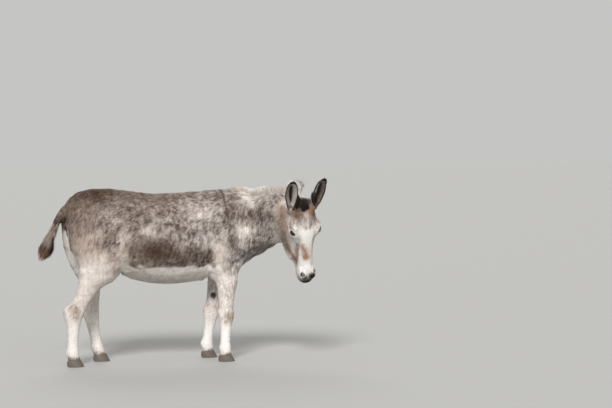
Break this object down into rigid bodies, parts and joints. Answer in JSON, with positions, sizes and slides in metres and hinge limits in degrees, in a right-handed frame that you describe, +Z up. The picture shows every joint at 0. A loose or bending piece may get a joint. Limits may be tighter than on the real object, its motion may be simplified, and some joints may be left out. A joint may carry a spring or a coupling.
{
  "type": "donkey",
  "caption": "Life-size standing donkey in a roan coat, neck bent to its right, face turned out from the body line, long ears upright, tail hanging.",
  "frame": {"origin": "on the ground below the middle of the animal's bounding box", "axes": "+X forward along the body, +Y to the animal's left, +Z up; the hooves stand on Z = 0"},
  "size_m": [1.7394, 0.7702, 1.1832],
  "materials": {
    "roan_coat": "matt short hair, grey-brown and white mixed",
    "pale_coat": "matt short hair, mostly whitish with brown patches",
    "white_hair": "matt whitish hair",
    "dark_hair": "matt dark brown hair",
    "horn": "dull, faintly ribbed dark horn",
    "eye": "wet and glossy, nearly black brown"
  },
  "bodies": {
    "root": {"trunk": "roan_coat", "neck": "roan_coat", "head": "pale_coat", "ear_right": "pale_coat", "ear_left": "pale_coat", "eye_right": "eye", "eye_left": "eye", "mane": "white_hair", "forelock": "dark_hair", "tail_dock": "roan_coat", "tail_switch": "dark_hair", "fore_right_upper": "pale_coat", "fore_right_lower": "white_hair", "fore_right_hoof": "horn", "fore_left_upper": "pale_coat", "fore_left_lower": "white_hair", "fore_left_hoof": "horn", "hind_right_upper": "pale_coat", "hind_right_lower": "white_hair", "hind_right_hoof": "horn", "hind_left_upper": "pale_coat", "hind_left_lower": "white_hair", "hind_left_hoof": "horn"}
  },
  "joints": []
}
